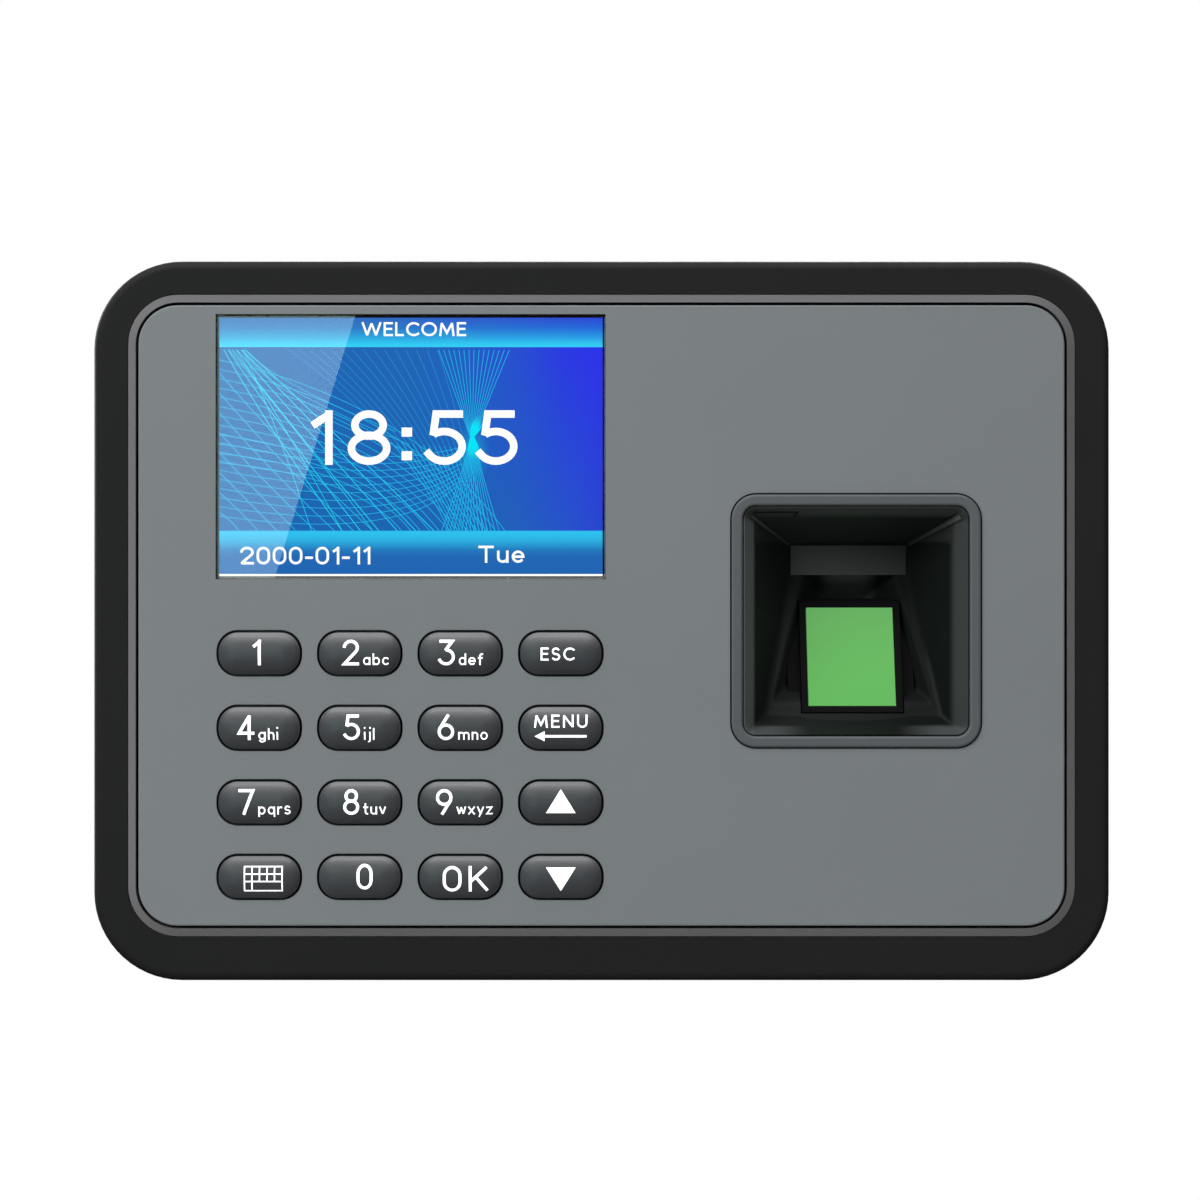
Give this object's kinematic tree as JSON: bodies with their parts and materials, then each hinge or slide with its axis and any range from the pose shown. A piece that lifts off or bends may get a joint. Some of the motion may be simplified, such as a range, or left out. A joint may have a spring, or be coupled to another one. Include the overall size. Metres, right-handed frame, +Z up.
{
  "type": "fingerprint scanner terminal",
  "caption": "Wall-mounted access terminal with a colour display, a sprung keypad and a fingerprint sensor in a sloping finger well.",
  "frame": {"origin": "centre of the wall bracket's back face, on the wall plane", "axes": "+X to the right as seen from the front, +Y into the wall, +Z up"},
  "size_m": [0.19, 0.0354, 0.1346],
  "materials": {
    "black_housing": "fine satin moulded ABS",
    "grey_trim": "satin moulded ABS",
    "grey_face": "fine matt painted ABS",
    "window_glass": "clear gloss cover",
    "lcd_cell": "gloss display cell",
    "white_plastic": "moulded plastic",
    "flex_film": "polyimide film",
    "silicone": "translucent grey silicone",
    "circuit_board": "solder mask on glass-fibre board",
    "chip_black": "moulded epoxy",
    "socket_black": "moulded nylon",
    "bright_steel": "bright plated steel",
    "well_frame_grey": "satin moulded ABS",
    "well_black": "smooth black moulded plastic",
    "sensor_glass": "green-lit optical glass",
    "cable_grey": "flat ribbon cable",
    "speaker_black": "speaker frame",
    "wire_red": "PVC-covered wire",
    "label_silver": "silvered polyester label, blank",
    "screw_steel": "zinc-plated steel",
    "bracket_steel": "zinc-plated sheet steel",
    "key_plastic": "gloss moulded key cap"
  },
  "bodies": {
    "terminal": {"front_shell": "black_housing", "rear_cover": "black_housing", "trim_frame": "grey_trim", "face_panel": "grey_face", "display_window": "window_glass", "lcd_glass": "lcd_cell", "lcd_backlight": "white_plastic", "board_connectors": "white_plastic", "lcd_flex": "flex_film", "keypad_mat": "silicone", "keypad_board": "circuit_board", "main_board": "circuit_board", "sensor_board": "circuit_board", "board_chips": "chip_black", "dc_jack": "socket_black", "coin_cell_holder": "socket_black", "usb_socket": "bright_steel", "coin_cell": "bright_steel", "well_bezel": "well_frame_grey", "sensor_well": "well_black", "sensor_body": "well_black", "sensor_prism": "sensor_glass", "sensor_cable": "cable_grey", "speaker": "speaker_black", "speaker_wires": "wire_red", "rating_label": "label_silver", "cover_screws": "screw_steel", "board_screws": "screw_steel", "lock_screw": "screw_steel", "wall_bracket": "bracket_steel"},
    "key_1": {"key_1": "key_plastic"},
    "key_2": {"key_2": "key_plastic"},
    "key_3": {"key_3": "key_plastic"},
    "key_esc": {"key_esc": "key_plastic"},
    "key_4": {"key_4": "key_plastic"},
    "key_5": {"key_5": "key_plastic"},
    "key_6": {"key_6": "key_plastic"},
    "key_menu": {"key_menu": "key_plastic"},
    "key_7": {"key_7": "key_plastic"},
    "key_8": {"key_8": "key_plastic"},
    "key_9": {"key_9": "key_plastic"},
    "key_up": {"key_up": "key_plastic"},
    "key_input": {"key_input": "key_plastic"},
    "key_0": {"key_0": "key_plastic"},
    "key_ok": {"key_ok": "key_plastic"},
    "key_down": {"key_down": "key_plastic"}
  },
  "joints": [
    {"name": "key_1_press", "type": "slide", "parent": "terminal", "child": "key_1", "axis": [0, 1, 0], "range_m": [0, 0.0009], "stiffness_N_per_m": 600, "springref_m": -0.0006, "deforming": ["keypad_mat"]},
    {"name": "key_2_press", "type": "slide", "parent": "terminal", "child": "key_2", "axis": [0, 1, 0], "range_m": [0, 0.0009], "stiffness_N_per_m": 600, "springref_m": -0.0006, "deforming": ["keypad_mat"]},
    {"name": "key_3_press", "type": "slide", "parent": "terminal", "child": "key_3", "axis": [0, 1, 0], "range_m": [0, 0.0009], "stiffness_N_per_m": 600, "springref_m": -0.0006, "deforming": ["keypad_mat"]},
    {"name": "key_esc_press", "type": "slide", "parent": "terminal", "child": "key_esc", "axis": [0, 1, 0], "range_m": [0, 0.0009], "stiffness_N_per_m": 600, "springref_m": -0.0006, "deforming": ["keypad_mat"]},
    {"name": "key_4_press", "type": "slide", "parent": "terminal", "child": "key_4", "axis": [0, 1, 0], "range_m": [0, 0.0009], "stiffness_N_per_m": 600, "springref_m": -0.0006, "deforming": ["keypad_mat"]},
    {"name": "key_5_press", "type": "slide", "parent": "terminal", "child": "key_5", "axis": [0, 1, 0], "range_m": [0, 0.0009], "stiffness_N_per_m": 600, "springref_m": -0.0006, "deforming": ["keypad_mat"]},
    {"name": "key_6_press", "type": "slide", "parent": "terminal", "child": "key_6", "axis": [0, 1, 0], "range_m": [0, 0.0009], "stiffness_N_per_m": 600, "springref_m": -0.0006, "deforming": ["keypad_mat"]},
    {"name": "key_menu_press", "type": "slide", "parent": "terminal", "child": "key_menu", "axis": [0, 1, 0], "range_m": [0, 0.0009], "stiffness_N_per_m": 600, "springref_m": -0.0006, "deforming": ["keypad_mat"]},
    {"name": "key_7_press", "type": "slide", "parent": "terminal", "child": "key_7", "axis": [0, 1, 0], "range_m": [0, 0.0009], "stiffness_N_per_m": 600, "springref_m": -0.0006, "deforming": ["keypad_mat"]},
    {"name": "key_8_press", "type": "slide", "parent": "terminal", "child": "key_8", "axis": [0, 1, 0], "range_m": [0, 0.0009], "stiffness_N_per_m": 600, "springref_m": -0.0006, "deforming": ["keypad_mat"]},
    {"name": "key_9_press", "type": "slide", "parent": "terminal", "child": "key_9", "axis": [0, 1, 0], "range_m": [0, 0.0009], "stiffness_N_per_m": 600, "springref_m": -0.0006, "deforming": ["keypad_mat"]},
    {"name": "key_up_press", "type": "slide", "parent": "terminal", "child": "key_up", "axis": [0, 1, 0], "range_m": [0, 0.0009], "stiffness_N_per_m": 600, "springref_m": -0.0006, "deforming": ["keypad_mat"]},
    {"name": "key_input_press", "type": "slide", "parent": "terminal", "child": "key_input", "axis": [0, 1, 0], "range_m": [0, 0.0009], "stiffness_N_per_m": 600, "springref_m": -0.0006, "deforming": ["keypad_mat"]},
    {"name": "key_0_press", "type": "slide", "parent": "terminal", "child": "key_0", "axis": [0, 1, 0], "range_m": [0, 0.0009], "stiffness_N_per_m": 600, "springref_m": -0.0006, "deforming": ["keypad_mat"]},
    {"name": "key_ok_press", "type": "slide", "parent": "terminal", "child": "key_ok", "axis": [0, 1, 0], "range_m": [0, 0.0009], "stiffness_N_per_m": 600, "springref_m": -0.0006, "deforming": ["keypad_mat"]},
    {"name": "key_down_press", "type": "slide", "parent": "terminal", "child": "key_down", "axis": [0, 1, 0], "range_m": [0, 0.0009], "stiffness_N_per_m": 600, "springref_m": -0.0006, "deforming": ["keypad_mat"]}
  ]
}
